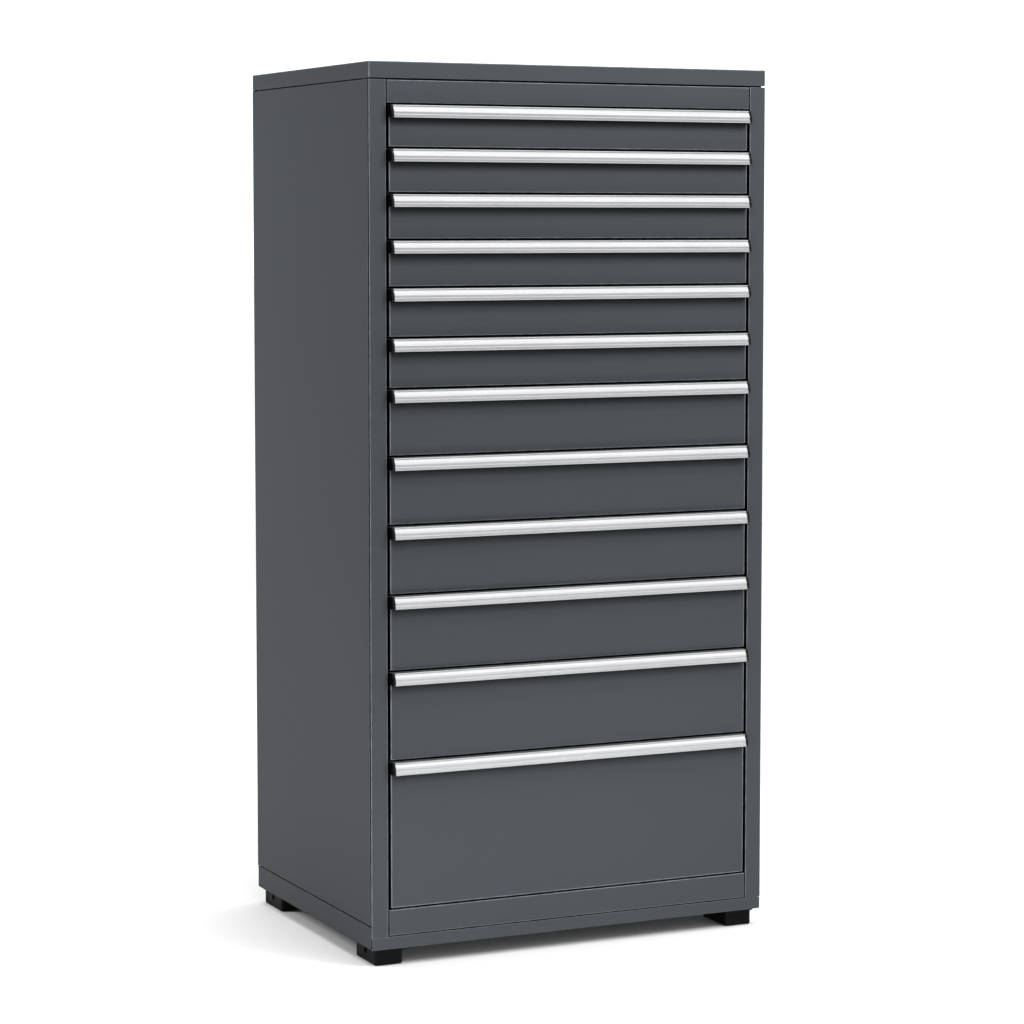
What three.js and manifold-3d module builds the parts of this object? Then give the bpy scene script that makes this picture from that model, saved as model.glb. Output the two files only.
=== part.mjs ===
// Twelve-drawer steel tool cabinet on four block feet, modelled in millimetres with +Z up.
// The front faces -Y. The origin is on the floor, under the middle of the whole outline, handles included.
import * as THREE from "three";
import { mergeVertices } from "three/addons/utils/BufferGeometryUtils.js";
import Module from "manifold-3d";

const wasm = await Module();
wasm.setup();

// ---- driving dimensions ----
const WIDTH = 717; // outside width of the housing
const DEPTH = 524; // outside depth of the housing, without the handles
const FOOT_HEIGHT = 29;
const BODY_HEIGHT = 1421; // from the underside of the base to the top of the cover
const HANDLE_REACH = 16; // how far a handle stands out from its drawer front
const HANDLE = {
  lip: 4.2, // height of the upright lip along the top
  lipReach: 10, // how far that lip stands out
  bulge: 14, // how far down the full reach begins
  drop: 20.6, // overall height
  wall: 1.8,
  flange: 8, // height of the part that lies on the drawer front
  overhang: 1, // how far its end caps stand out past the drawer front
};

const SHEET = 1.5; // housing and drawer sheet
const TOUCH = 0.3; // gap left between pieces that rest on each other
const WELD = 0.5; // how far pieces joined into one solid reach into each other
const DRAWER_PITCHES = [69, 71.5, 73.5, 75.5, 80, 81, 108, 110.5, 111.5, 123, 145, 241]; // top to bottom

// ---- housing ----
const COVER_HEIGHT = 26;
const COVER_SEAM = 1.5; // shadow line between the cover and what stands under it
const POST_WIDTH = 29;
const POST_DEPTH = 25;
const REAR_FLANGE = 22;
const CORNER_SEAM = 3; // open seam between a post's face and the side skin behind it
const CORNER_SEAM_DEPTH = 3.5;
const BASE_INSET = 1; // the base is this much narrower than the side panels, on each side
const BASE_FRONT_HEIGHT = 20;
const BASE_SIDE_HEIGHT = 36;
const BASE_SEAM = 1;
const RAIL_GAP = 2.2; // open line around a cross rail
const RAIL_EAR_BACK = 6; // a cross rail only reaches the posts and the base this far behind its face
const BOTTOM_RAIL_TOP = 63.5; // above the underside of the base
const BOTTOM_RAIL_LIP = 18;
const TOP_RAIL_HEIGHT = 37;
const TOP_RAIL_LIP = 20;

// ---- drawers ----
const DRAWER_GAP = 3; // dark line between two drawer fronts
const SIDE_GAP = 5.25; // between a drawer front and the post beside it
const FRONT_PAN_DEPTH = 18; // folded edge of a drawer front
const TRAY_HALF_WIDTH = 310;
const TRAY_BACK = 490; // behind the drawer front's face
const TRAY_FLOOR = 5; // above the drawer front's lower edge
const TRAY_WALL_DROP = 10; // the tray wall stops this much under the front's upper edge
const TRAY_RIM = 7; // folded rim along the top of a tray side

// ---- telescopic slides, all measured outwards from the cabinet's middle plane ----
const SLIDE_LENGTH = 450;
const SLIDE_FRONT = 26; // behind the drawer front's face
const SLIDE_AXIS = 30; // height above the drawer front's lower edge
const LINER_INNER = 334;
const FIXED = { inner: 321, outer: LINER_INNER + WELD, half: 21.5, wall: 1.6 };
const MIDDLE = { inner: 314.5, outer: 328.3, half: 18.5, wall: 1.8, web: [320.4, 322.4] };
const MOVING = { inner: TRAY_HALF_WIDTH - WELD, outer: 319.4, half: 15, wall: 1.6 };
const LINER_BACK = 500;

// ---- feet ----
const FOOT = { width: 48, length: 84, chamfer: 2, plate: 2, overhang: 3, hole: 5, holeHeight: 18 };
const FOOT_SIDE_INSET = 11;
const FOOT_FRONT_INSET = 12;
const FOOT_REAR_INSET = 5;

// ---- places worked out from the dimensions above ----
const HALF = WIDTH / 2;
const FRONT_Y = (HANDLE_REACH - DEPTH) / 2;
const OPENING_HALF = HALF - POST_WIDTH;
const COVER_BOTTOM = BODY_HEIGHT - COVER_HEIGHT;
const STACK_HEIGHT = DRAWER_PITCHES.reduce((sum, pitch) => sum + pitch, 0);
const STACK_BOTTOM = BOTTOM_RAIL_TOP;
const STACK_TOP = STACK_BOTTOM + DRAWER_GAP + STACK_HEIGHT;

const paint = new THREE.MeshStandardMaterial({ color: 0x54575b, roughness: 0.5, metalness: 0.1 });
const zinc = new THREE.MeshStandardMaterial({ color: 0xa9adb1, roughness: 0.35, metalness: 0.9 });
const aluminium = new THREE.MeshStandardMaterial({ color: 0xd9dadd, roughness: 0.3, metalness: 0.9 });
const black = new THREE.MeshStandardMaterial({ color: 0x151617, roughness: 0.55, metalness: 0 });

// ---- shape helpers ----
function box([x0, x1], [y0, y1], [z0, z1]) {
  const geometry = new THREE.BoxGeometry(x1 - x0, y1 - y0, z1 - z0);
  return geometry.translate((x0 + x1) / 2, (y0 + y1) / 2, (z0 + z1) / 2);
}

function extrude(outline, depth) {
  const shape = new THREE.Shape(outline.map(([u, v]) => new THREE.Vector2(u, v)));
  return new THREE.ExtrudeGeometry(shape, { depth, bevelEnabled: false });
}

// An outline of (x, y) points raised from z0 to z1.
const raised = (outline, [z0, z1]) => extrude(outline, z1 - z0).translate(0, 0, z0);

// An outline of (y, z) points drawn along X from x0 to x1.
function alongX(outline, [x0, x1]) {
  const turn = new THREE.Matrix4().makeBasis(
    new THREE.Vector3(0, 1, 0),
    new THREE.Vector3(0, 0, 1),
    new THREE.Vector3(1, 0, 0),
  );
  return extrude(outline, x1 - x0).applyMatrix4(turn).translate(x0, 0, 0);
}

// An outline of (x, z) points drawn along Y from y0 to y1.
function alongY(outline, [y0, y1]) {
  return extrude(outline, y1 - y0).rotateX(Math.PI / 2).translate(0, y1, 0);
}

function solidOf(geometry) {
  const bare = geometry.index ? geometry.toNonIndexed() : geometry.clone();
  bare.deleteAttribute("normal");
  bare.deleteAttribute("uv");
  const merged = mergeVertices(bare, 1e-4);
  return new wasm.Manifold(
    new wasm.Mesh({
      numProp: 3,
      vertProperties: merged.attributes.position.array,
      triVerts: new Uint32Array(merged.index.array),
    }),
  );
}

function geometryOf(solid) {
  const { vertProperties, triVerts } = solid.getMesh();
  const geometry = new THREE.BufferGeometry();
  geometry.setAttribute("position", new THREE.BufferAttribute(vertProperties, 3));
  geometry.setIndex(new THREE.BufferAttribute(triVerts, 1));
  geometry.computeVertexNormals();
  return geometry;
}

function join(...geometries) {
  return geometryOf(geometries.map(solidOf).reduce((sum, solid) => sum.add(solid)));
}

function cut(geometry, ...tools) {
  return geometryOf(tools.map(solidOf).reduce((rest, tool) => rest.subtract(tool), solidOf(geometry)));
}

// The same piece on the other side of the cabinet: mirrored in X, with its faces turned to point out again.
function mirrored(geometry) {
  const copy = (geometry.index ? geometry.toNonIndexed() : geometry.clone()).scale(-1, 1, 1);
  const places = copy.getAttribute("position");
  for (let i = 0; i < places.count; i += 3) {
    const [b, c] = [i + 1, i + 2].map((n) => new THREE.Vector3().fromBufferAttribute(places, n));
    places.setXYZ(i + 1, ...c.toArray());
    places.setXYZ(i + 2, ...b.toArray());
  }
  copy.computeVertexNormals();
  return copy;
}

function add(parent, name, geometry, material) {
  const mesh = new THREE.Mesh(geometry, material);
  mesh.name = name;
  parent.add(mesh);
  return mesh;
}

// ---- housing pieces, in a group whose origin is the middle of the base's front edge ----

// Right-hand side panel: outer skin, rear flange and folded front post, with an open seam at the corner.
// Below the side seam only the post's face goes on.
function sidePanel() {
  const inner = HALF - SHEET;
  const rear = DEPTH - SHEET - TOUCH;
  const seamFloor = HALF - CORNER_SEAM_DEPTH;
  const seamBack = SHEET + CORNER_SEAM;
  const outline = [
    [HALF, seamBack],
    [HALF, rear],
    [HALF - REAR_FLANGE, rear],
    [HALF - REAR_FLANGE, rear - SHEET],
    [inner, rear - SHEET],
    [inner, seamBack + SHEET],
    [seamFloor - SHEET, seamBack + SHEET],
    [seamFloor - SHEET, SHEET],
    [OPENING_HALF + SHEET, SHEET],
    [OPENING_HALF + SHEET, POST_DEPTH],
    [OPENING_HALF, POST_DEPTH],
    [OPENING_HALF, 0],
    [HALF, 0],
    [HALF, SHEET],
    [seamFloor, SHEET],
    [seamFloor, seamBack],
  ];
  const bottom = BASE_FRONT_HEIGHT + TOUCH;
  const panel = raised(outline, [bottom, COVER_BOTTOM - COVER_SEAM]);
  const seam = BASE_SIDE_HEIGHT + BASE_SEAM;
  return cut(panel, box([OPENING_HALF - 1, HALF + 1], [SHEET, DEPTH], [bottom - 1, seam]));
}

function backPanel() {
  const heights = [BASE_SIDE_HEIGHT + BASE_SEAM, COVER_BOTTOM - COVER_SEAM];
  return box([-HALF, HALF], [DEPTH - SHEET, DEPTH], heights);
}

// Cover: a flat top with all four edges folded down.
function topCover() {
  const outer = box([-HALF, HALF], [0, DEPTH], [COVER_BOTTOM, BODY_HEIGHT]);
  const hollow = box(
    [SHEET - HALF, HALF - SHEET],
    [SHEET, DEPTH - SHEET],
    [COVER_BOTTOM - 1, BODY_HEIGHT - SHEET],
  );
  return cut(outer, hollow);
}

// Base: a floor pan with raised edges, open at its front corners, and the lower cross rail welded to it.
function baseFrame() {
  const half = HALF - BASE_INSET;
  const pan = cut(
    box([-half, half], [0, DEPTH], [0, BASE_SIDE_HEIGHT]),
    box([SHEET - half, half - SHEET], [SHEET, DEPTH - SHEET], [SHEET, BASE_SIDE_HEIGHT + 1]),
    box([-half - 1, half + 1], [-1, SHEET + TOUCH], [BASE_FRONT_HEIGHT, BASE_SIDE_HEIGHT + 1]),
    ...[-half, half].map((x) =>
      box([x - SHEET, x + SHEET], [SHEET, SHEET + CORNER_SEAM], [SHEET, BASE_SIDE_HEIGHT + 1]),
    ),
  );
  const railHalf = OPENING_HALF - RAIL_GAP;
  const low = BASE_FRONT_HEIGHT + RAIL_GAP;
  const rail = [
    [0, low],
    [RAIL_EAR_BACK, low],
    [RAIL_EAR_BACK, SHEET / 2],
    [RAIL_EAR_BACK + SHEET, SHEET / 2],
    [RAIL_EAR_BACK + SHEET, low + SHEET],
    [SHEET, low + SHEET],
    [SHEET, BOTTOM_RAIL_TOP - SHEET],
    [BOTTOM_RAIL_LIP, BOTTOM_RAIL_TOP - SHEET],
    [BOTTOM_RAIL_LIP, BOTTOM_RAIL_TOP],
    [0, BOTTOM_RAIL_TOP],
  ];
  return join(pan, alongX(rail, [-railHalf, railHalf]));
}

// Upper cross rail: a channel with ears on its lips that reach the posts.
function topRail() {
  const bottom = STACK_TOP;
  const top = bottom + TOP_RAIL_HEIGHT;
  const half = OPENING_HALF - RAIL_GAP;
  const channel = [
    [0, bottom],
    [TOP_RAIL_LIP, bottom],
    [TOP_RAIL_LIP, bottom + SHEET],
    [SHEET, bottom + SHEET],
    [SHEET, top - SHEET],
    [TOP_RAIL_LIP, top - SHEET],
    [TOP_RAIL_LIP, top],
    [0, top],
  ];
  const ears = [bottom, top - SHEET].map((low) =>
    box([TOUCH - OPENING_HALF, OPENING_HALF - TOUCH], [RAIL_EAR_BACK, TOP_RAIL_LIP], [low, low + SHEET]),
  );
  return join(alongX(channel, [-half, half]), ...ears);
}

// A C-shaped section of (x, z) points, open towards the side named by its mouth.
function channelSection({ inner, outer, half, wall }, height, mouth) {
  const [open, closed] = mouth === "inner" ? [inner, outer - wall] : [outer, inner + wall];
  const back = mouth === "inner" ? outer : inner;
  const points = [
    [open, height - half],
    [back, height - half],
    [back, height + half],
    [open, height + half],
    [open, height + half - wall],
    [closed, height + half - wall],
    [closed, height - half + wall],
    [open, height - half + wall],
  ];
  return mouth === "inner" ? points : points.reverse();
}

// Right-hand inner wall: a liner with folded edges, carrying the fixed members of all the slides.
function runnerWall() {
  const skin = HALF - BASE_INSET - SHEET - TOUCH;
  const liner = [
    [LINER_INNER, SLIDE_FRONT],
    [skin, SLIDE_FRONT],
    [skin, SLIDE_FRONT + SHEET],
    [LINER_INNER + SHEET, SLIDE_FRONT + SHEET],
    [LINER_INNER + SHEET, LINER_BACK - SHEET],
    [skin, LINER_BACK - SHEET],
    [skin, LINER_BACK],
    [LINER_INNER, LINER_BACK],
  ];
  const runners = drawerFloors().map((floor) =>
    alongY(channelSection(FIXED, floor + SLIDE_AXIS, "inner"), [SLIDE_FRONT, SLIDE_FRONT + SLIDE_LENGTH]),
  );
  return join(raised(liner, [SHEET + TOUCH, BODY_HEIGHT - SHEET - TOUCH]), ...runners);
}

// Foot: a block with chamfered lower edges under a thin mounting plate, with one hole across it.
// Its origin is the middle of its underside.
function foot() {
  const { width, length, chamfer, plate, overhang, hole, holeHeight } = FOOT;
  const half = width / 2;
  const section = [
    [chamfer - half, 0],
    [half - chamfer, 0],
    [half, chamfer],
    [half, FOOT_HEIGHT - TOUCH - plate / 2],
    [-half, FOOT_HEIGHT - TOUCH - plate / 2],
    [-half, chamfer],
  ];
  const block = alongY(section, [-length / 2, length / 2]);
  const top = box(
    [-half - overhang, half + overhang],
    [-length / 2 - overhang, length / 2 + overhang],
    [FOOT_HEIGHT - TOUCH - plate, FOOT_HEIGHT - TOUCH],
  );
  const bore = new THREE.CylinderGeometry(hole, hole, width + 4, 16).rotateZ(Math.PI / 2);
  return cut(join(block, top), bore.translate(0, 0, holeHeight));
}

// ---- drawer pieces, in a group whose origin is the middle of the drawer front's lower edge ----

// The heights of the drawer fronts' lower edges above the base, top drawer first.
function drawerFloors() {
  let height = STACK_TOP;
  return DRAWER_PITCHES.map((pitch) => (height -= pitch));
}

// Folded front, tray and the slides' moving members, welded together.
function drawerBox(frontHeight) {
  const half = OPENING_HALF - SIDE_GAP;
  const wallTop = frontHeight - TRAY_WALL_DROP;
  const front = cut(
    box([-half, half], [0, FRONT_PAN_DEPTH], [0, frontHeight]),
    box([SHEET - half, half - SHEET], [SHEET, FRONT_PAN_DEPTH + 1], [SHEET, frontHeight - SHEET]),
  );
  const innerPlate = box(
    [-TRAY_HALF_WIDTH, TRAY_HALF_WIDTH],
    [FRONT_PAN_DEPTH - SHEET, FRONT_PAN_DEPTH],
    [SHEET / 2, frontHeight - SHEET / 2],
  );
  const tray = cut(
    box([-TRAY_HALF_WIDTH, TRAY_HALF_WIDTH], [FRONT_PAN_DEPTH - SHEET, TRAY_BACK], [TRAY_FLOOR, wallTop]),
    box(
      [SHEET - TRAY_HALF_WIDTH, TRAY_HALF_WIDTH - SHEET],
      [FRONT_PAN_DEPTH, TRAY_BACK - SHEET],
      [TRAY_FLOOR + SHEET, wallTop + 1],
    ),
  );
  const rim = box(
    [TRAY_HALF_WIDTH - SHEET, TRAY_HALF_WIDTH + TRAY_RIM],
    [FRONT_PAN_DEPTH - SHEET, TRAY_BACK],
    [wallTop - SHEET, wallTop],
  );
  const section = channelSection(MOVING, SLIDE_AXIS, "outer");
  const member = alongY(section, [SLIDE_FRONT, SLIDE_FRONT + SLIDE_LENGTH]);
  return join(front, innerPlate, tray, rim, mirrored(rim), member, mirrored(member));
}

// Aluminium grip: a hook section, open below, whose convex face leans out towards its lower edge.
// Its origin is the upper edge of the drawer front.
function handle() {
  const { lip, lipReach, bulge, drop, wall, flange, overhang } = HANDLE;
  const half = OPENING_HALF - SIDE_GAP + overhang;
  const face = (offset) => [
    ...[0, 0.25, 0.5, 0.75, 1].map((t) => [
      -lipReach - (HANDLE_REACH - lipReach) * Math.sin((t * Math.PI) / 2) + offset,
      -lip - (bulge - lip) * t,
    ]),
    [-HANDLE_REACH + offset, -drop],
  ];
  const section = [
    [-TOUCH - wall, -flange],
    [-TOUCH - wall, -wall],
    [-lipReach + wall, -wall],
    ...face(wall),
    ...face(0).reverse(),
    [-lipReach, -1],
    [1 - lipReach, 0],
    [-TOUCH, 0],
    [-TOUCH, -flange],
  ];
  return alongX(section, [-half, half]);
}

// Right-hand middle member of a slide: an I section, inside the fixed member and around the moving one.
function middleMember() {
  const { inner, outer, half, wall, web } = MIDDLE;
  const [low, high] = [SLIDE_AXIS - half, SLIDE_AXIS + half];
  const section = [
    [inner, low],
    [outer, low],
    [outer, low + wall],
    [web[1], low + wall],
    [web[1], high - wall],
    [outer, high - wall],
    [outer, high],
    [inner, high],
    [inner, high - wall],
    [web[0], high - wall],
    [web[0], low + wall],
    [inner, low + wall],
  ];
  return alongY(section, [SLIDE_FRONT, SLIDE_FRONT + SLIDE_LENGTH]);
}

// ---- assembly ----
function housing() {
  const group = new THREE.Group();
  const panel = sidePanel();
  const wall = runnerWall();
  add(group, "right_side_panel", panel, paint);
  add(group, "left_side_panel", mirrored(panel), paint);
  add(group, "back_panel", backPanel(), paint);
  add(group, "top_cover", topCover(), paint);
  add(group, "base_frame", baseFrame(), paint);
  add(group, "front_top_rail", topRail(), paint);
  add(group, "right_runner_wall", wall, zinc);
  add(group, "left_runner_wall", mirrored(wall), zinc);
  return group;
}

function feet() {
  const group = new THREE.Group();
  const shape = foot();
  const x = HALF - FOOT_SIDE_INSET - FOOT.width / 2;
  const front = FOOT_FRONT_INSET + FOOT.length / 2;
  const rear = DEPTH - FOOT_REAR_INSET - FOOT.length / 2;
  for (const [name, side] of [["left", -1], ["right", 1]]) {
    add(group, `front_${name}_foot`, shape, black).position.set(side * x, front, 0);
    add(group, `rear_${name}_foot`, shape, black).position.set(side * x, rear, 0);
  }
  return group;
}

function drawer(number, pitch) {
  const group = new THREE.Group();
  const name = `drawer_${String(number).padStart(2, "0")}`;
  const frontHeight = pitch - DRAWER_GAP;
  const member = middleMember();
  add(group, `${name}_box`, drawerBox(frontHeight), paint);
  add(group, `${name}_handle`, handle(), aluminium).position.z = frontHeight;
  add(group, `${name}_slide_right`, member, zinc);
  add(group, `${name}_slide_left`, mirrored(member), zinc);
  return group;
}

const cabinet = new THREE.Group();
cabinet.position.y = FRONT_Y;
const body = new THREE.Group();
body.position.z = FOOT_HEIGHT;
body.add(housing());
drawerFloors().forEach((floor, i) => {
  const unit = drawer(i + 1, DRAWER_PITCHES[i]);
  unit.position.z = floor;
  body.add(unit);
});
cabinet.add(body, feet());

const toolCabinet = new THREE.Group();
toolCabinet.add(cabinet);

export default toolCabinet;
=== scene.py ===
import math

import bmesh
import bpy
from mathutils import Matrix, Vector


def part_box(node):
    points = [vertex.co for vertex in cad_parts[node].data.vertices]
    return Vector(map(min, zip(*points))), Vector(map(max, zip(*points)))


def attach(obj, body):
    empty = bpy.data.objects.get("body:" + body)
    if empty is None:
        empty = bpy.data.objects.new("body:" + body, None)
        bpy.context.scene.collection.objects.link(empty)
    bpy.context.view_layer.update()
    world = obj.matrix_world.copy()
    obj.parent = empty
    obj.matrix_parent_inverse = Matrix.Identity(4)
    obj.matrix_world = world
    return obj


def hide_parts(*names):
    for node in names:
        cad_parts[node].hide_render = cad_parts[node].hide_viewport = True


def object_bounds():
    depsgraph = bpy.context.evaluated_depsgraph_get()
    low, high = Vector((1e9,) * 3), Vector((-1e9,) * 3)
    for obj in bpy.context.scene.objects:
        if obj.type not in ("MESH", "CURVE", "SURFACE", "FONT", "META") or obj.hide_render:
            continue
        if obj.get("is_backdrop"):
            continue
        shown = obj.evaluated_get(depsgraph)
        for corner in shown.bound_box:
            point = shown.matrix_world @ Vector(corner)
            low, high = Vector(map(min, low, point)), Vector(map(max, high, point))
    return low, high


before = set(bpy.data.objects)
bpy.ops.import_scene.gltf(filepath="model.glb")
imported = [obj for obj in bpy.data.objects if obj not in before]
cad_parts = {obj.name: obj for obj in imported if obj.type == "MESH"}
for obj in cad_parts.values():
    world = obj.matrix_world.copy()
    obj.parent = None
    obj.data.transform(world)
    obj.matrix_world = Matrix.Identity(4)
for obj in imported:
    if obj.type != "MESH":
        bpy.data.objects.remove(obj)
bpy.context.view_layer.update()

# Looks of the twelve-drawer steel cabinet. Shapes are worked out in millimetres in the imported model's frame:
# the front faces -Y, +Z is up, and the floor is at zero. Helpers take places as (u, v, w) along the axes
# that they name.

MM = 0.001
SHEET = 1.5  # thickness of the housing's and the drawers' steel
SMOOTH_BELOW = math.radians(50)  # faces that meet at less than this are shaded as one bend
DRAWERS = 12
TWO_FILLETS = 0.98  # the share of a side that the fillets at its two ends may use together
OWN_SHARE = 0.49  # the share of a side that each fillet may use in any case
TIGHT_RADIUS = 1.5  # bends up to this radius are rubbed the most and carry the strongest painted highlight
# Ambient lookups that paint shade into gaps and shadow under overhangs: their samples and upward tilt.
GAP_SAMPLES = 6
UPWARD_TILT = 0.8


def node_box(node):
    """A CAD node's lowest and highest corner, in millimetres."""
    lo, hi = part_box(node)
    return lo / MM, hi / MM


# ---------------------------------------------------------------- places from the frame
base_lo, base_hi = node_box("base_frame")
cover_lo, cover_hi = node_box("top_cover")
panel_lo, panel_hi = node_box("right_side_panel")
rail_lo, rail_hi = node_box("front_top_rail")
HALF = panel_hi.x
FRONT = panel_lo.y
BACK = base_hi.y
BASE_Z = base_lo.z
OPENING = panel_lo.x  # the posts' inner edges


# ---------------------------------------------------------------- mesh helpers
def to_x(u, v, w):
    return Vector((w, u, v))


def to_y(u, v, w):
    return Vector((u, w, v))


def to_z(u, v, w):
    return Vector((u, v, w))


def mirrored(place):
    """The same placing on the other side of the middle plane."""
    def other(u, v, w):
        p = place(u, v, w)
        return Vector((-p.x, p.y, p.z))
    return other


def new_shape():
    bm = bmesh.new()
    # Each vertex carries a mark for rubbed edges, which also get a painted highlight.
    bm.verts.layers.float.new("wear_and_highlight")
    return bm


def rounded(corners, steps=4):
    """Outline of (u, v, wear and highlight mark) from corners (u, v, radius) given counter-clockwise.

    The mark is 1 on the crest of a tight bend, which is rubbed lighter and also gets a painted highlight.
    """
    out = []
    count = len(corners)
    for i, (u, v, radius) in enumerate(corners):
        p = Vector((u, v))
        last, following = corners[i - 1], corners[(i + 1) % count]
        before = Vector(last[:2]) - p
        after = Vector(following[:2]) - p
        if radius <= 0:
            out.append((u, v, 0.0))
            continue
        half = before.angle(after) / 2
        room_before = max(before.length * TWO_FILLETS - last[2], before.length * OWN_SHARE)
        room_after = max(after.length * TWO_FILLETS - following[2], after.length * OWN_SHARE)
        reach = min(radius / math.tan(half), room_before, room_after)
        radius = reach * math.tan(half)
        before.normalize()
        after.normalize()
        centre = p + (before + after).normalized() * (radius / math.sin(half))
        start = p + before * reach - centre
        end = p + after * reach - centre
        convex = (-before).cross(after) > 0
        sweep = start.angle_signed(end, 0.0)
        sharpness = min(1.0, abs(sweep) / (math.pi / 2)) ** 2
        rubbed_and_lit = sharpness * min(1.0, TIGHT_RADIUS / radius) if convex else 0.0
        for k in range(steps + 1):
            t = k / steps
            turn = -sweep * t
            q = centre + Vector((
                start.x * math.cos(turn) - start.y * math.sin(turn),
                start.x * math.sin(turn) + start.y * math.cos(turn),
            ))
            out.append((q.x, q.y, rubbed_and_lit * math.sin(math.pi * t)))
    return out


def rectangle(u0, u1, v0, v1, radius):
    return [(u0, v0, radius), (u1, v0, radius), (u1, v1, radius), (u0, v1, radius)]


def inset(outline, distance):
    """The outline moved inwards by a small distance."""
    if not distance:
        return outline
    out = []
    count = len(outline)
    for i, (u, v, wear_and_highlight) in enumerate(outline):
        p = Vector((u, v))
        a = p - Vector(outline[i - 1][:2])
        b = Vector(outline[(i + 1) % count][:2]) - p
        a = a.normalized() if a.length > 1e-6 else b.normalized()
        b = b.normalized() if b.length > 1e-6 else a
        na, nb = Vector((-a.y, a.x)), Vector((-b.y, b.x))
        move = (na + nb) / max(1 + na.dot(nb), 0.5) * distance
        out.append((u + move.x, v + move.y, wear_and_highlight))
    return out


def skin(bm, rings):
    """A closed skin through rings of (point, wear and highlight mark), each with the same count, capped at
    both ends.
    """
    layer = bm.verts.layers.float["wear_and_highlight"]
    loops = []
    for ring in rings:
        loop = []
        for point, wear_and_highlight in ring:
            vert = bm.verts.new(point)
            vert[layer] = wear_and_highlight
            loop.append(vert)
        loops.append(loop)
    for low, high in zip(loops, loops[1:]):
        for i in range(len(low)):
            j = (i + 1) % len(low)
            bm.faces.new((low[i], low[j], high[j], high[i]))
    bm.faces.new(loops[0][::-1])
    bm.faces.new(loops[-1])


def prism(bm, corners, lo, hi, place, edge=0.3, steps=2, bends=4):
    """An outline of filleted corners drawn from lo to hi, with its two end edges rounded."""
    outline = rounded(corners, bends)
    ends = []
    for k in range(steps + 1):
        angle = math.pi / 2 * k / steps
        # The rounded end edges are marked for rubbing and a painted highlight.
        worn_and_lit = math.sin(2 * angle)
        ends.append((edge * (1 - math.sin(angle)), edge * (1 - math.cos(angle)), worn_and_lit))
    levels = [(depth, lo + along, along, worn_and_lit) for depth, along, worn_and_lit in ends]
    levels += [(depth, hi - along, along, worn_and_lit) for depth, along, worn_and_lit in reversed(ends)]
    rings = []
    for depth, w, along, worn_and_lit in levels:
        moved = inset(outline, depth)
        rings.append([(place(u, v, w), max(wear_and_highlight * (along > 0), worn_and_lit)) for u, v, wear_and_highlight in moved])
    skin(bm, rings)


def pan(bm, u0, u1, v0, v1, face, rim, place, corner, bend, bends=4):
    """A sheet-metal pan: a flat face at w = face with all four edges folded back to w = rim."""
    way = 1 if face > rim else -1
    lip = 0.3
    # The last bend row and a ring this far onto the face get a painted highlight.
    face_highlight_share = 0.5
    face_highlight_width = 0.7
    least_corner = 0.2
    rows = [
        (SHEET, face - way * SHEET, 0),
        (SHEET, rim + way * lip, 0),
        (SHEET - lip, rim, 1),
        (lip, rim, 1),
        (0, rim + way * lip, 0),
    ]
    for k in range(bends + 1):
        angle = math.pi / 2 * k / bends
        rubbed_and_lit = max(math.sin(2 * angle), face_highlight_share if k == bends else 0)
        rows.append((bend * (1 - math.cos(angle)), face - way * bend * (1 - math.sin(angle)), rubbed_and_lit))
    rows.append((bend + face_highlight_width, face, 0))
    rings = []
    for depth, w, wear_and_highlight in rows:
        radius = max(corner - depth, least_corner)
        outline = rounded(rectangle(u0 + depth, u1 - depth, v0 + depth, v1 - depth, radius), bends)
        rings.append([(place(u, v, w), max(wear_and_highlight, bent if w != face else 0)) for u, v, bent in outline])
    skin(bm, rings)


def turned(bm, rows, centre, place, sides):
    """A turned piece about w: rows of (radius, w, wear and highlight mark)."""
    rings = []
    for radius, w, wear_and_highlight in rows:
        ring = []
        for i in range(sides):
            angle = 2 * math.pi * i / sides
            u = centre[0] + radius * math.cos(angle)
            v = centre[1] + radius * math.sin(angle)
            ring.append((place(u, v, w), wear_and_highlight))
        rings.append(ring)
    skin(bm, rings)


def perforated(bm, us, vs, holes, w0, w1, place):
    """A plate from w0 to w1 on the grid of lines us and vs, without the cells named in holes."""
    made = {}

    def vert(i, j, k):
        if (i, j, k) not in made:
            made[i, j, k] = bm.verts.new(place(us[i], vs[j], (w0, w1)[k]))
        return made[i, j, k]

    def filled(i, j):
        return 0 <= i < len(us) - 1 and 0 <= j < len(vs) - 1 and (i, j) not in holes

    for i in range(len(us) - 1):
        for j in range(len(vs) - 1):
            if not filled(i, j):
                continue
            corners = [(i, j), (i + 1, j), (i + 1, j + 1), (i, j + 1)]
            bm.faces.new([vert(a, b, 1) for a, b in corners])
            bm.faces.new([vert(a, b, 0) for a, b in reversed(corners)])
            beside = [(i, j - 1), (i + 1, j), (i, j + 1), (i - 1, j)]
            for k, (near_i, near_j) in enumerate(beside):
                if not filled(near_i, near_j):
                    a, b = corners[k], corners[(k + 1) % 4]
                    bm.faces.new((vert(*a, 0), vert(*b, 0), vert(*b, 1), vert(*a, 1)))


SLOT_WIDTH = 2.4
SLOT_LENGTH = 20.0
SLOT_PITCH = 17.0
SLOT_ROW_PITCH = 34.0
SLOT_END_MARGIN = 14.0
SLOT_LOW_MARGIN = 10.0
SLOT_HIGH_MARGIN = 6.0


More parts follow.
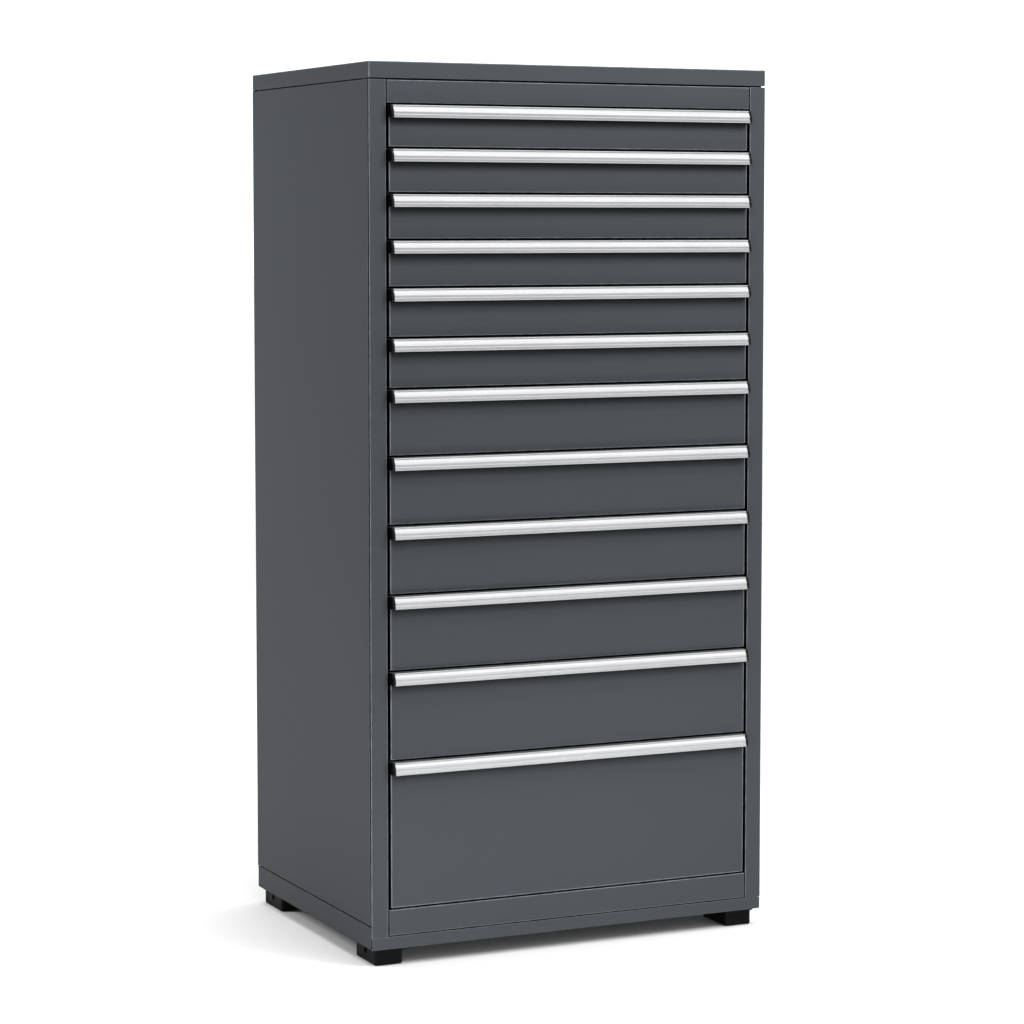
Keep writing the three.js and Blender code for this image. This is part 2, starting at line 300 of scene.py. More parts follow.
def slotted_plate(bm, u0, u1, v0, v1, w0, w1, place):
    """A plate with rows of upright slots, as many as fit."""
    count = int((u1 - u0 - 2 * SLOT_END_MARGIN) / SLOT_PITCH) + 1
    first = (u0 + u1) / 2 - SLOT_PITCH * (count - 1) / 2
    us = [u0]
    for i in range(count):
        us += [first + i * SLOT_PITCH - SLOT_WIDTH / 2, first + i * SLOT_PITCH + SLOT_WIDTH / 2]
    us.append(u1)
    free = v1 - v0 - SLOT_LOW_MARGIN - SLOT_HIGH_MARGIN - SLOT_LENGTH
    rows = max(1, int(free / SLOT_ROW_PITCH) + 1)
    vs = [v0]
    for j in range(rows):
        low = v0 + SLOT_LOW_MARGIN + j * SLOT_ROW_PITCH
        vs += [low, low + SLOT_LENGTH]
    vs.append(v1)
    holes = {(2 * i + 1, 2 * j + 1) for i in range(count) for j in range(rows)}
    perforated(bm, us, vs, holes, w0, w1, place)


def finish_piece(name, bm, body, material, replaced=()):
    """Turns a shape into a piece that rides on a body, with soft shading over its bends."""
    bmesh.ops.recalc_face_normals(bm, faces=bm.faces)
    for vert in bm.verts:
        vert.co *= MM
    mesh = bpy.data.meshes.new(name)
    bm.to_mesh(mesh)
    bm.free()
    mesh.shade_smooth()
    mesh.set_sharp_from_angle(angle=SMOOTH_BELOW)
    mesh.materials.append(material)
    piece = bpy.data.objects.new(name, mesh)
    bpy.context.scene.collection.objects.link(piece)
    weighted = piece.modifiers.new("flat_faces", "WEIGHTED_NORMAL")
    weighted.keep_sharp = True
    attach(piece, body)
    if replaced:
        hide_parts(*replaced)
    return piece


# ---------------------------------------------------------------- materials
class Nodes:
    """A material with a Principled shader, and short ways to add the nodes that drive it."""

    def __init__(self, name, colour, roughness, metallic=0.0):
        self.material = bpy.data.materials.new(name)
        self.material.use_nodes = True
        self.tree = self.material.node_tree
        self.shader = self.tree.nodes["Principled BSDF"]
        self.shader.inputs["Base Color"].default_value = (*colour, 1)
        self.shader.inputs["Roughness"].default_value = roughness
        self.shader.inputs["Metallic"].default_value = metallic
        self.coords = self.tree.nodes.new("ShaderNodeTexCoord").outputs["Object"]

    def node(self, kind, **settings):
        made = self.tree.nodes.new(kind)
        for key, value in settings.items():
            setattr(made, key, value)
        return made

    def link(self, source, target):
        self.tree.links.new(source, target)

    def noise(self, scale, detail=2.0, rough=0.5, stretch=(1, 1, 1)):
        mapping = self.node("ShaderNodeMapping")
        mapping.inputs["Scale"].default_value = stretch
        self.link(self.coords, mapping.inputs["Vector"])
        made = self.node("ShaderNodeTexNoise")
        made.inputs["Scale"].default_value = scale
        made.inputs["Detail"].default_value = detail
        made.inputs["Roughness"].default_value = rough
        self.link(mapping.outputs["Vector"], made.inputs["Vector"])
        return made.outputs["Fac"]

    def spread(self, value, low, high, start=0.3, end=0.7):
        """A value moved from start..end to low..high."""
        made = self.node("ShaderNodeMapRange")
        for key, number in (("From Min", start), ("From Max", end), ("To Min", low), ("To Max", high)):
            made.inputs[key].default_value = number
        self.link(value, made.inputs["Value"])
        return made.outputs["Result"]

    def math(self, operation, a, b):
        made = self.node("ShaderNodeMath", operation=operation)
        for socket, value in zip(made.inputs, (a, b)):
            if isinstance(value, (int, float)):
                socket.default_value = value
            else:
                self.link(value, socket)
        return made.outputs[0]

    def mix(self, factor, a, b):
        made = self.node("ShaderNodeMix", data_type="RGBA")
        self.link(factor, made.inputs["Factor"])
        for socket, value in ((made.inputs[6], a), (made.inputs[7], b)):
            if isinstance(value, tuple):
                socket.default_value = (*value, 1)
            else:
                self.link(value, socket)
        return made.outputs[2]

    def crevice(self, reach, hidden, exposed, way=None):
        """0 where as little as hidden is open within the reach (in metres), and 1 from exposed on; it masks
        painted shade.
        """
        made = self.node("ShaderNodeAmbientOcclusion", samples=GAP_SAMPLES)
        made.inputs["Distance"].default_value = reach
        if way:
            self.link(way, made.inputs["Normal"])
        return self.spread(made.outputs["AO"], 0.0, 1.0, hidden, exposed)

    def overhang(self, reach, hidden, exposed):
        """Like crevice, but it looks upwards, so what stands out below a place counts little; it masks a
        painted shadow under overhangs such as the grips.
        """
        tilted = self.node("ShaderNodeVectorMath", operation="ADD")
        self.link(self.node("ShaderNodeNewGeometry").outputs["Normal"], tilted.inputs[0])
        tilted.inputs[1].default_value = (0, 0, UPWARD_TILT)
        way = self.node("ShaderNodeVectorMath", operation="NORMALIZE")
        self.link(tilted.outputs[0], way.inputs[0])
        return self.crevice(reach, hidden, exposed, way.outputs[0])

    # The vertex mark of rubbed edges that also carry a painted highlight.
    def wear_and_highlight(self):
        return self.node("ShaderNodeAttribute", attribute_name="wear_and_highlight").outputs["Fac"]

    def bump(self, height, strength, distance, under=None):
        made = self.node("ShaderNodeBump")
        made.inputs["Strength"].default_value = strength
        made.inputs["Distance"].default_value = distance
        self.link(height, made.inputs["Height"])
        if under:
            self.link(under, made.inputs["Normal"])
        return made.outputs["Normal"]

    def drive(self, socket, value):
        self.link(value, self.shader.inputs[socket])


def scaled(colour, factor):
    return tuple(factor * c for c in colour)


def powder_coat(name, dark, light):
    """Satin textured powder coat: faint mottling, fine orange peel, bends rubbed lighter with a painted
    highlight, painted shade in gaps and under overhangs.
    """
    mottle_share = 0.4
    most_rubbed_and_lit = 0.85
    rubbed_and_highlight_gain = 5.5
    painted_shade_level = 0.06
    m = Nodes(name, light, 0.5)
    m.shader.inputs["Specular IOR Level"].default_value = 0.06
    mottle = m.spread(m.noise(2.5, 2.0), 0.0, 1.0)
    grain = m.spread(m.noise(700.0, 2.0), 0.0, 1.0)
    coarse = m.math("MULTIPLY", mottle, mottle_share)
    fine = m.math("MULTIPLY", grain, 1 - mottle_share)
    body = m.mix(m.math("ADD", coarse, fine), dark, light)
    scuffs = m.spread(m.noise(70.0, 4.0), 0.5, 1.0, 0.35, 0.65)
    # Wear and painted highlight: marked bends, broken up by scuffs, turn several times lighter.
    rubbed_and_lit = m.math("MULTIPLY", m.wear_and_highlight(), m.math("MULTIPLY", scuffs, most_rubbed_and_lit))
    painted_shade = scaled(light, painted_shade_level)
    # Painted shade: the colour darkens towards near black in gaps, in seams and under overhangs such as the
    # grips.
    shaded = m.mix(m.crevice(0.012, 0.4, 0.64), painted_shade, body)
    shaded = m.mix(m.crevice(0.004, 0.5, 0.82), painted_shade, shaded)
    shaded = m.mix(m.overhang(0.03, 0.2, 0.7), painted_shade, shaded)
    m.drive("Base Color", m.mix(rubbed_and_lit, shaded, scaled(light, rubbed_and_highlight_gain)))
    m.drive("Roughness", m.spread(m.noise(260.0, 2.0), 0.46, 0.54))
    peel = m.bump(m.noise(520.0, 1.5), 0.3, 0.0001)
    m.drive("Normal", m.bump(m.noise(1900.0, 1.0), 0.2, 0.00004, peel))
    return m.material


def brushed(name, colour, low, high, stretch, lines=0.25, metallic=1.0):
    """Metal with fine lines drawn along one axis, rough from low to high."""
    line_share = 0.7
    m = Nodes(name, colour, (low + high) / 2, metallic)
    streaks = m.noise(1.0, 3.0, 0.6, stretch)
    cloud = m.noise(18.0, 3.0)
    lined = m.math("MULTIPLY", streaks, line_share)
    clouded = m.math("MULTIPLY", cloud, 0.3)
    shade = m.spread(m.math("ADD", lined, clouded), 0.0, 1.0)
    m.drive("Base Color", m.mix(shade, scaled(colour, 0.86), colour))
    m.drive("Roughness", m.spread(streaks, low, high))
    m.drive("Normal", m.bump(streaks, lines, 0.00003))
    return m.material


def moulded(name, colour, low, high, gloss):
    """Moulded black plastic with a fine grain, and edges rubbed by handling that also carry a painted
    highlight.
    """
    m = Nodes(name, colour, (low + high) / 2)
    m.shader.inputs["Specular IOR Level"].default_value = gloss
    cloud = m.spread(m.noise(60.0, 3.0), 0.0, 1.0)
    # Wear and painted highlight: marked edges turn several times lighter.
    worn_and_lit = m.math("MULTIPLY", m.wear_and_highlight(), m.spread(m.noise(220.0, 2.0), 0.4, 0.9))
    body = m.mix(cloud, scaled(colour, 0.75), colour)
    m.drive("Base Color", m.mix(worn_and_lit, body, scaled(colour, 9)))
    m.drive("Roughness", m.spread(m.noise(90.0, 2.0), low, high))
    m.drive("Normal", m.bump(m.noise(1500.0, 1.0), 0.4, 0.00006))
    return m.material


PAINT_DARK = (0.0386, 0.0423, 0.0470)
PAINT_LIGHT = (0.0424, 0.0465, 0.0516)
ALUMINIUM = (0.49, 0.492, 0.5)
ZINC = (0.56, 0.57, 0.58)

paint = powder_coat("powder_coat", PAINT_DARK, PAINT_LIGHT)
tray_paint = powder_coat("powder_coat_inside", PAINT_DARK, PAINT_LIGHT)
zinc = brushed("zinc_plate", ZINC, 0.28, 0.42, (120.0, 3.0, 120.0))
grip_metal = brushed("anodised_aluminium", ALUMINIUM, 0.25, 0.35, (3.0, 260.0, 260.0), 0.15, 0.85)
plastic = moulded("black_plastic", (0.0035, 0.0035, 0.004), 0.25, 0.35, 0.12)
foot_plastic = moulded("black_foot", (0.0034, 0.0036, 0.0043), 0.45, 0.6, 0.06)


# ---------------------------------------------------------------- housing
PANEL_TOP = panel_hi.z - 1.1
SEAM_FRONT = FRONT + SHEET
SEAM_BACK = SEAM_FRONT + 4.5
SEAM_DEPTH = 13.0
POST_RETURN = 25.0
REAR_FLANGE = 22.0
BASE_STRIP_TOP = BASE_Z + 20.0
BASE_SIDE_TOP = BASE_Z + 36.5
BASE_SIDE_GAP = 2.6
RAIL_SIDE_GAP = 2.2
RAIL_STEP = 6.0  # how far behind a rail's face its ears and its lower leg stand
RAIL_LIP = 18.0


def top_cover():
    bm = new_shape()
    left, right, front, rear = cover_lo.x, cover_hi.x, cover_lo.y, cover_hi.y
    pan(bm, left, right, front, rear, cover_hi.z, cover_lo.z, to_z, corner=1.7, bend=1.5)
    # A set-back frame closes the shadow line between the cover and the panels.
    back_off = 5.0
    rear_back_off = 1.0
    heights = [panel_hi.z - 1.2, cover_lo.z + 4]
    x = right - back_off
    y0, y1 = front + back_off, rear - rear_back_off
    for place in (to_x, mirrored(to_x)):
        perforated(bm, [y0, y1 - SHEET], heights, (), x - SHEET, x, place)
    perforated(bm, [SHEET - x, x - SHEET], heights, (), y0, y0 + SHEET, to_y)
    rear_half = right - rear_back_off
    perforated(bm, [-rear_half, rear_half], heights, (), y1 - SHEET, y1, to_y)
    finish_piece("cover_shell", bm, "housing", paint, ["top_cover"])


def side_panel(name, place):
    """Side skin with its front hem and rear flange, and the folded post in front of the corner seam."""
    bm = new_shape()
    rear = panel_hi.y
    skin_outline = [
        (HALF, SEAM_BACK, 0.4),
        (HALF, rear, 1.8),
        (HALF - REAR_FLANGE, rear, 0.4),
        (HALF - REAR_FLANGE, rear - SHEET, 0.4),
        (HALF - SHEET, rear - SHEET, 0.5),
        (HALF - SHEET, SEAM_BACK + SHEET, 0.3),
        (HALF - SEAM_DEPTH, SEAM_BACK + SHEET, 0.3),
        (HALF - SEAM_DEPTH, SEAM_BACK, 0.3),
    ]
    prism(bm, skin_outline, BASE_SIDE_TOP + BASE_SIDE_GAP, PANEL_TOP, place, edge=0.4)
    finish_piece(f"{name}_skin", bm, "housing", paint, [f"{name}_panel"])

    bm = new_shape()
    post_outline = [
        (OPENING, FRONT, 1.1),
        (HALF, FRONT, 1.3),
        (HALF, SEAM_FRONT, 0.15),
        (HALF - SEAM_DEPTH - SHEET, SEAM_FRONT, 0.3),
        (HALF - SEAM_DEPTH - SHEET, SEAM_BACK - 0.3, 0.3),
        (HALF - SEAM_DEPTH - 2 * SHEET, SEAM_BACK - 0.3, 0.3),
        (HALF - SEAM_DEPTH - 2 * SHEET, SEAM_FRONT, 0.3),
        (OPENING + SHEET, SEAM_FRONT, 0.3),
        (OPENING + SHEET, FRONT + POST_RETURN, 0.4),
        (OPENING, FRONT + POST_RETURN, 0.4),
    ]
    prism(bm, post_outline, BASE_STRIP_TOP + 0.4, PANEL_TOP, place, edge=0.5)
    finish_piece(f"{name}_post", bm, "housing", paint, [f"{name}_panel"])


def back_panel():
    lo, hi = node_box("back_panel")
    bm = new_shape()
    prism(bm, rectangle(lo.x, hi.x, lo.z, hi.z, 1.0), lo.y, hi.y, to_y, edge=0.5)
    finish_piece("back_sheet", bm, "housing", paint, ["back_panel"])


def top_rail():
    bm = new_shape()
    half = OPENING - RAIL_SIDE_GAP
    z0, z1 = rail_lo.z, rail_hi.z - 1.2
    channel = [
        (FRONT, z0, 1.2),
        (rail_hi.y, z0, 0.4),
        (rail_hi.y, z0 + SHEET, 0.4),
        (FRONT + SHEET, z0 + SHEET, 0.4),
        (FRONT + SHEET, z1 - SHEET, 0.4),
        (rail_hi.y, z1 - SHEET, 0.4),
        (rail_hi.y, z1, 0.4),
        (FRONT, z1, 1.2),
    ]
    prism(bm, channel, -half, half, to_x, edge=0.7)
    ear = rectangle(rail_lo.x, rail_hi.x, FRONT + RAIL_STEP, rail_hi.y - 0.5, 0.5)
    for low in (z0 + 0.1, z1 - SHEET - 0.1):
        prism(bm, ear, low + 0.1, low + SHEET - 0.2, to_z, edge=0.2)
    finish_piece("upper_rail", bm, "housing", paint, ["front_top_rail"])


def base():
    bm = new_shape()
    x = base_hi.x
    prism(bm, rectangle(-x, x, FRONT + 0.2, BACK, 2.0), BASE_Z, BASE_Z + SHEET, to_z, edge=0.5)
    for side in (-1, 1):
        lo, hi = sorted((side * x, side * (x - SHEET)))
        prism(bm, rectangle(SEAM_BACK, BACK, BASE_Z, BASE_SIDE_TOP, 0.9), lo, hi, to_x, edge=0.45)
    prism(bm, rectangle(-x, x, BASE_Z, BASE_SIDE_TOP, 0.9), BACK - SHEET, BACK, to_y, edge=0.45)
    finish_piece("base_pan", bm, "housing", paint, ["base_frame"])

    bm = new_shape()
    prism(bm, rectangle(-x, x, BASE_Z, BASE_STRIP_TOP, 1.8), FRONT, FRONT + SHEET, to_y, edge=0.5)
    finish_piece("base_front_strip", bm, "housing", paint, ["base_frame"])

    bm = new_shape()
    half = OPENING - RAIL_SIDE_GAP
    low, top = BASE_STRIP_TOP + 1.8, base_hi.z
    step = FRONT + RAIL_STEP
    rail = [
        (FRONT, low, 1.2),
        (step, low, 0.3),
        (step, BASE_Z + SHEET, 0),
        (step + SHEET, BASE_Z + SHEET, 0),
        (step + SHEET, low + SHEET, 0.3),
        (FRONT + SHEET, low + SHEET, 0.3),
        (FRONT + SHEET, top - SHEET, 0.4),
        (FRONT + RAIL_LIP, top - SHEET, 0.4),
        (FRONT + RAIL_LIP, top, 0.4),
        (FRONT, top, 1.2),
    ]
    prism(bm, rail, -half, half, to_x, edge=0.7)
    finish_piece("lower_rail", bm, "housing", paint, ["base_frame"])


def foot(name):
    """Moulded block with rounded corners, bored across, under a plate that stands out all round."""
    lo, hi = node_box(name)
    bm = new_shape()
    overhang = 3.0
    plate = 4.5
    block_corner = 4.5
    plate_corner = 5.0
    bore_radius = 5.0
    bore_height = 18.0
    past = 5.0  # how far the cutter reaches past the block
    x0, x1, y0, y1 = lo.x + overhang, hi.x - overhang, lo.y + overhang, hi.y - overhang
    top = hi.z - plate + 0.2
    # The rounded lower edge and the corners are marked for rubbing and a painted highlight.
    rows = [(2.2, lo.z, 0), (1.1, lo.z + 0.35, 0.6), (0.35, lo.z + 1.1, 0.6), (0, lo.z + 2.2, 0), (0, top, 0)]
    rings = []
    for depth, z, wear_and_highlight in rows:
        corners = rectangle(x0 + depth, x1 - depth, y0 + depth, y1 - depth, block_corner - depth)
        rings.append([(to_z(u, v, z), max(wear_and_highlight, 0.5 * bent)) for u, v, bent in rounded(corners, 5)])
    skin(bm, rings)
    bmesh.ops.recalc_face_normals(bm, faces=bm.faces)
    block_mesh = bpy.data.meshes.new(name + "_raw")
    bm.to_mesh(block_mesh)
    bm.free()
    block = bpy.data.objects.new(name + "_raw", block_mesh)

    cutter_shape = new_shape()
    rows = [(bore_radius, x0 - past, 0), (bore_radius, x1 + past, 0)]
    turned(cutter_shape, rows, ((y0 + y1) / 2, bore_height), to_x, sides=28)
    bmesh.ops.recalc_face_normals(cutter_shape, faces=cutter_shape.faces)
    cutter_mesh = bpy.data.meshes.new(name + "_bore")
    cutter_shape.to_mesh(cutter_mesh)
    cutter_shape.free()
    cutter = bpy.data.objects.new(name + "_bore", cutter_mesh)
    for made in (block, cutter):
        bpy.context.scene.collection.objects.link(made)
    bore = block.modifiers.new("bore", "BOOLEAN")
    bore.operation = "DIFFERENCE"
    bore.solver = "EXACT"
    bore.object = cutter
    bpy.context.view_layer.update()
    cut = block.evaluated_get(bpy.context.evaluated_depsgraph_get())
    cut_mesh = bpy.data.meshes.new_from_object(cut)
    for made in (block, cutter):
        bpy.data.objects.remove(made)

    bm = bmesh.new()
    bm.from_mesh(cut_mesh)
    if "wear_and_highlight" not in bm.verts.layers.float:
        bm.verts.layers.float.new("wear_and_highlight")
    prism(bm, rectangle(lo.x, hi.x, lo.y, hi.y, plate_corner), hi.z - plate, hi.z, to_z, edge=0.5)
    finish_piece(name + "_block", bm, "housing", foot_plastic, [name])


top_cover()
side_panel("right_side", to_z)
side_panel("left_side", mirrored(to_z))
back_panel()
top_rail()
base()
for end in ("front", "rear"):
    for side in ("left", "right"):
        foot(f"{end}_{side}_foot")
for side in ("left", "right"):
    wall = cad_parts[f"{side}_runner_wall"]
    wall.data.materials.clear()
    wall.data.materials.append(zinc)


# ---------------------------------------------------------------- drawers
FRONT_HALF = OPENING - 5.25
FRONT_PAN = 18.0
GRIP_HALF = OPENING - 4.25
GRIP_REACH = 15.5
CAP_REACH = 16.0
CAP_WIDTH = 3.6
TRAY_HALF = 310.0
TRAY_BACK = FRONT + 490.0
TRAY_FLOOR = 5.0  # above the front's lower edge
TRAY_DROP = 10.0  # from the front's upper edge to the tray's
TRAY_RIM = 7.0
SLIDE_FRONT = FRONT + 26.0
SLIDE_LENGTH = 450.0
SLIDE_HEIGHT = 30.0
RIVETS = (30, 160, 290, 420)  # behind the slide's front end


def grip_section(reach):
    """Section of the grip as (y, z, radius), z from the drawer front's top edge, leaning out to reach."""
    r = reach
    shape = [
        (2.1, -8.0, 0.3),
        (2.1, -1.8, 0.5),
        (8.8, -1.8, 0.5),
        (8.6, -4.2, 1.0),
        (r - 4.1, -8.8, 3.0),
        (r - 2.8, -12.4, 1.5),
        (r - 2.9, -19.4, 0.5),
        (r - 2.3, -20.5, 0.4),
        (r - 0.9, -20.5, 0.9),
        (r, -19.4, 1.0),
        (r, -15.8, 0.7),
        (r - 1.3, -14.9, 0.5),
        (r - 1.1, -11.6, 4.0),
        (r - 2.5, -7.6, 5.0),
        (10.6, -3.7, 0.8),
        (10.0, -3.2, 0.3),
        (10.0, -2.6, 0.3),
        (11.0, -2.0, 0.4),
        (11.0, -0.6, 1.8),
        (0.3, 0.0, 0.3),
        (0.3, -8.0, 0.3),
    ]
    return [(FRONT - y, z, radius) for y, z, radius in reversed(shape)]


def cap_section(reach):
    """Outline of a moulded end cap: the filled outer outline of the grip."""
    r = reach
    shape = [
        (0.3, -20.6, 0.6),
        (r - 1.2, -20.6, 1.6),
        (r, -18.4, 1.6),
        (r, -13.4, 5.0),
        (r - 1.8, -7.6, 7.0),
        (11.8, -2.4, 3.0),
        (9.8, 0.0, 2.0),
        (0.3, 0.0, 0.4),
    ]
    return [(FRONT - y, z, radius) for y, z, radius in reversed(shape)]


def raised(section, height):
    return [(u, v + height, radius) for u, v, radius in section]


def moving_section(height):
    """C section of a slide's moving member, open outwards."""
    inner, outer, half, wall = TRAY_HALF + 0.05, 319.4, 15.0, 1.6
    points = [
        (inner, -half, 2.6), (outer, -half, 0.5), (outer, wall - half, 0.5), (inner + wall, wall - half, 1.4),
        (inner + wall, half - wall, 1.4), (outer, half - wall, 0.5), (outer, half, 0.5), (inner, half, 2.6),
    ]
    return [(x, z + height, radius) for x, z, radius in points]


def middle_section(height):
    """I section of a slide's middle member, from its inner to its outer lips."""
    inner, outer, half, wall = 314.5, 328.3, 18.5, 1.8
    web0, web1 = 320.4, 322.4
    points = [
        (inner, -half, 0.6), (outer, -half, 0.6), (outer, wall - half, 0.6),
        (web1, wall - half, 1.6), (web1, half - wall, 1.6),
        (outer, half - wall, 0.6), (outer, half, 0.6), (inner, half, 0.6), (inner, half - wall, 0.6),
        (web0, half - wall, 1.6), (web0, wall - half, 1.6), (inner, wall - half, 0.6),
    ]
    return [(x, z + height, radius) for x, z, radius in points]


def drawer_front(name, z0, z1):
    bm = new_shape()
    pan(bm, -FRONT_HALF, FRONT_HALF, z0, z1, FRONT, FRONT + FRONT_PAN, to_y, corner=1.2, bend=1.3)
    finish_piece(f"{name}_front", bm, name, paint, [f"{name}_box"])


def drawer_tray(name, z0, z1):
    """Floor, inner front wall, back wall, slotted side walls and folded rims."""
    bm = new_shape()
    floor = z0 + TRAY_FLOOR
    top = z1 - TRAY_DROP
    start = FRONT + FRONT_PAN - SHEET
    floor_half = TRAY_HALF - SHEET - 0.2
    plate = rectangle(-floor_half, floor_half, start, TRAY_BACK - SHEET, 0.5)
    prism(bm, plate, floor, floor + SHEET, to_z, edge=0.2)
    front_wall = rectangle(-TRAY_HALF, TRAY_HALF, z0 + 2.0, z1 - 2.0, 0.5)
    prism(bm, front_wall, start, start + SHEET - 0.1, to_y, edge=0.2)
    back_wall = rectangle(-TRAY_HALF, TRAY_HALF, floor, top, 1.0)
    prism(bm, back_wall, TRAY_BACK - SHEET, TRAY_BACK, to_y, edge=0.4)
    low, high = start + SHEET, TRAY_BACK - SHEET
    for place in (to_x, mirrored(to_x)):
        slotted_plate(bm, low, high, floor, top - SHEET, TRAY_HALF - SHEET, TRAY_HALF, place)
    rim = [
        (TRAY_HALF - SHEET, top - SHEET, 0.2),
        (TRAY_HALF + TRAY_RIM, top - SHEET, 0.5),
        (TRAY_HALF + TRAY_RIM, top, 0.6),
        (TRAY_HALF - SHEET, top, 1.2),
    ]
    for place in (to_y, mirrored(to_y)):
        prism(bm, rim, start + SHEET, TRAY_BACK, place, edge=0.3)
    finish_piece(f"{name}_tray", bm, name, tray_paint, [f"{name}_box"])


def drawer_grip(name, top):
    metal_half = GRIP_HALF - CAP_WIDTH
    bm = new_shape()
    section = raised(grip_section(GRIP_REACH), top)
    prism(bm, section, -metal_half, metal_half, to_x, edge=1.0, steps=4, bends=3)
    finish_piece(f"{name}_grip", bm, name, grip_metal, [f"{name}_handle"])
    bm = new_shape()
    section = raised(cap_section(CAP_REACH), top)
    for place in (to_x, mirrored(to_x)):
        prism(bm, section, metal_half + 0.05, GRIP_HALF, place, edge=0.8, steps=3)
    finish_piece(f"{name}_grip_caps", bm, name, plastic, [f"{name}_handle"])


def drawer_slides(number, name, z0):
    """The moving members with their rivets, and the middle member of each side."""
    bm = new_shape()
    height = z0 + SLIDE_HEIGHT
    for place in (to_y, mirrored(to_y)):
        prism(bm, moving_section(height), SLIDE_FRONT, SLIDE_FRONT + SLIDE_LENGTH, place, edge=0.4)
    rivet = [
        (3.2, TRAY_HALF + 1.5, 0),
        (3.2, TRAY_HALF + 1.9, 0.5),
        (2.4, TRAY_HALF + 2.6, 0.5),
        (1.0, TRAY_HALF + 2.9, 0),
    ]
    for place in (to_x, mirrored(to_x)):
        for y in RIVETS:
            turned(bm, rivet, (SLIDE_FRONT + y, height), place, sides=12)
    finish_piece(f"{name}_moving_members", bm, name, zinc, [f"{name}_box"])
    for side, place in (("right", to_y), ("left", mirrored(to_y))):
        bm = new_shape()
        prism(bm, middle_section(height), SLIDE_FRONT, SLIDE_FRONT + SLIDE_LENGTH, place, edge=0.4)
        node = f"{name}_slide_{side}"
        finish_piece(f"{name}_middle_{side}", bm, f"slides_{number:02d}", zinc, [node])


for number in range(1, DRAWERS + 1):
    name = f"drawer_{number:02d}"
    lo, hi = node_box(f"{name}_box")
    drawer_front(name, lo.z, hi.z)
    drawer_tray(name, lo.z, hi.z)
    drawer_grip(name, hi.z)
    drawer_slides(number, name, lo.z)


# ---------------------------------------------------------------- studio
FLOOR_SIZE = 60.0
FLOOR_GREY = 0.76
SKY_BASE = 0.2
# Each lobe is (the way its light comes from, sharpness, amount).
SKY_LOBES = [
    ((0.43, 0.9, 0), 3.0, 1.0),
    ((0.42, -0.6, 0.68), 8.0, 2.3),
    ((1, 0.4, 0.3), 2.0, 0.4),
]
# Each softbox is (name, place, the point it faces, size, power).
SOFTBOXES = [
    ("key_softbox", (1.2, -2.1, 2.4), (0.1, -0.25, 0.9), (0.9, 0.5), 40.0),
    ("high_softbox", (-0.05, -0.95, 1.95), (0, -0.25, 1.45), (1.6, 0.2), 9.0),
    ("low_softbox", (-0.1, -0.85, 0.03), (0, -0.25, 0.35), (1.3, 0.12), 6.0),
    ("left_softbox", (-2.2, 1.2, 1.5), (-0.36, 0.15, 0.85), (0.6, 1.2), 44.0),
]
OVERHEAD = 2.2
OVERHEAD_ANGLE = math.radians(50)
EYE = (-2.1696, -4.6291, 1.1951)
EYE_DOWN = 4.6  # degrees below level
EYE_TURN = 25.213  # degrees to the right of straight ahead
LENS = 105.16
LENS_SHIFT = -0.0468
SENSOR_WIDTH = 36.0


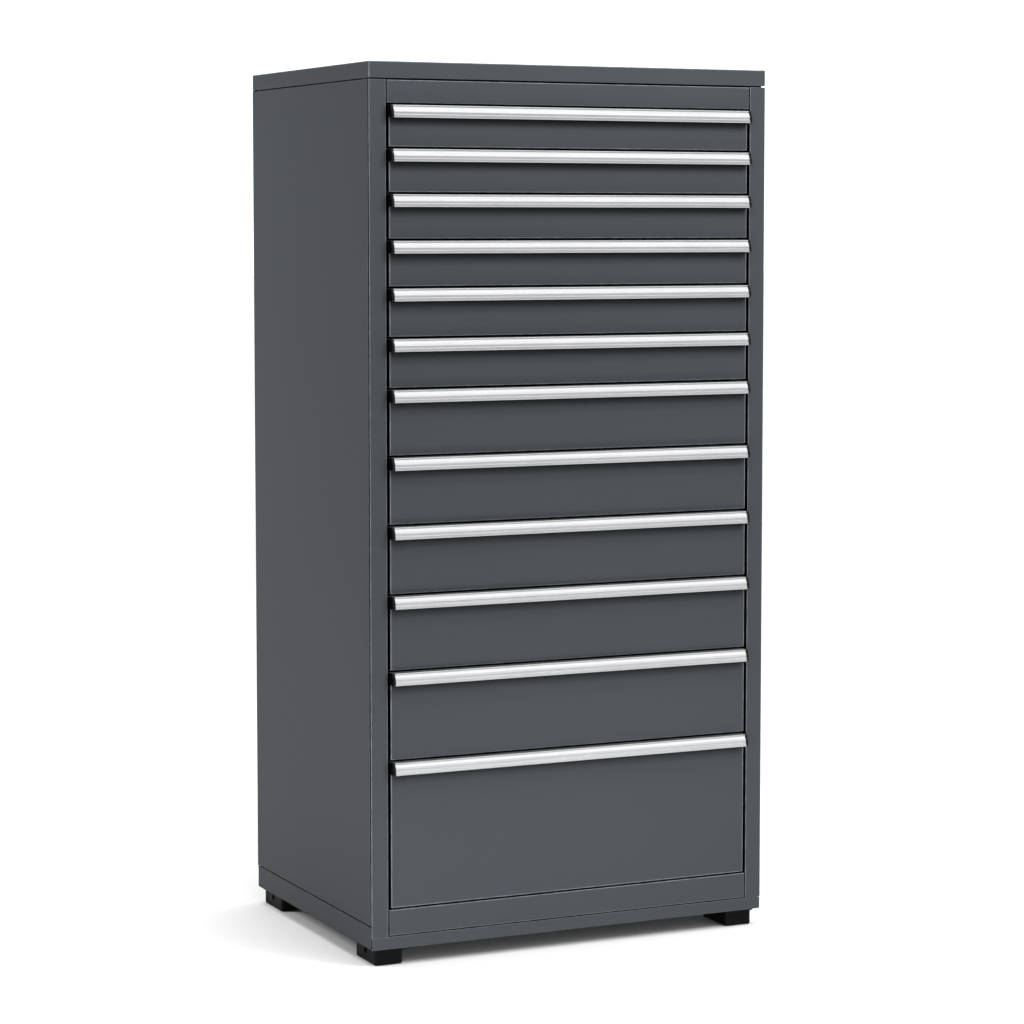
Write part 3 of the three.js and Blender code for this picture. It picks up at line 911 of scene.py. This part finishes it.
def pale_floor():
    bm = bmesh.new()
    bmesh.ops.create_grid(bm, x_segments=2, y_segments=2, size=FLOOR_SIZE)
    mesh = bpy.data.meshes.new("studio_floor")
    bm.to_mesh(mesh)
    bm.free()
    floor = bpy.data.objects.new("studio_floor", mesh)
    bpy.context.scene.collection.objects.link(floor)
    sheet = bpy.data.materials.new("studio_floor")
    sheet.use_nodes = True
    shader = sheet.node_tree.nodes["Principled BSDF"]
    shader.inputs["Base Color"].default_value = (FLOOR_GREY, FLOOR_GREY, FLOOR_GREY, 1)
    shader.inputs["Roughness"].default_value = 0.9
    shader.inputs["Specular IOR Level"].default_value = 0.1
    mesh.materials.append(sheet)
    floor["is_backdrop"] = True


def sky():
    """An even dim sky with soft lobes of light."""
    world = bpy.data.worlds.new("studio")
    world.use_nodes = True
    tree = world.node_tree
    direction = tree.nodes.new("ShaderNodeTexCoord").outputs["Generated"]

    def lobe(way, sharpness, amount):
        """Light from one side: the cosine of the angle to it, sharpened, times amount."""
        dot = tree.nodes.new("ShaderNodeVectorMath")
        dot.operation = "DOT_PRODUCT"
        dot.inputs[1].default_value = Vector(way).normalized()
        tree.links.new(direction, dot.inputs[0])
        steps = [("MAXIMUM", 0.0), ("POWER", sharpness), ("MULTIPLY", amount)]
        value = dot.outputs["Value"]
        for operation, number in steps:
            step = tree.nodes.new("ShaderNodeMath")
            step.operation = operation
            tree.links.new(value, step.inputs[0])
            step.inputs[1].default_value = number
            value = step.outputs[0]
        return value

    total = None
    for way, sharpness, amount in SKY_LOBES:
        value = lobe(way, sharpness, amount)
        adder = tree.nodes.new("ShaderNodeMath")
        adder.operation = "ADD"
        tree.links.new(value, adder.inputs[0])
        if total:
            tree.links.new(total, adder.inputs[1])
        else:
            adder.inputs[1].default_value = SKY_BASE
        total = adder.outputs[0]
    tree.links.new(total, tree.nodes["Background"].inputs["Strength"])
    tree.nodes["Background"].inputs["Color"].default_value = (1, 1, 1, 1)
    bpy.context.scene.world = world


def softbox(name, place, aim, size, power):
    """Soft light that neither the view nor a reflection shows."""
    light = bpy.data.lights.new(name, "AREA")
    light.shape = "RECTANGLE"
    light.size, light.size_y = size
    light.energy = power
    lamp = bpy.data.objects.new(name, light)
    lamp.location = place
    lamp.visible_camera = False
    lamp.visible_glossy = False
    lamp.rotation_euler = (Vector(aim) - Vector(place)).to_track_quat("-Z", "Y").to_euler()
    bpy.context.scene.collection.objects.link(lamp)


def overhead():
    light = bpy.data.lights.new("overhead", "SUN")
    light.energy = OVERHEAD
    light.angle = OVERHEAD_ANGLE
    bpy.context.scene.collection.objects.link(bpy.data.objects.new("overhead", light))


def camera():
    data = bpy.data.cameras.new("camera")
    data.lens = LENS
    data.sensor_width = SENSOR_WIDTH
    data.shift_y = LENS_SHIFT
    data.clip_end = 200
    eye = bpy.data.objects.new("camera", data)
    eye.location = EYE
    eye.rotation_euler = (math.radians(90 - EYE_DOWN), 0, math.radians(-EYE_TURN))
    bpy.context.scene.collection.objects.link(eye)
    bpy.context.scene.camera = eye


pale_floor()
sky()
for name, place, aim, size, power in SOFTBOXES:
    softbox(name, place, aim, size, power)
overhead()
camera()
bpy.context.scene.view_settings.view_transform = "Standard"

lo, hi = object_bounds()
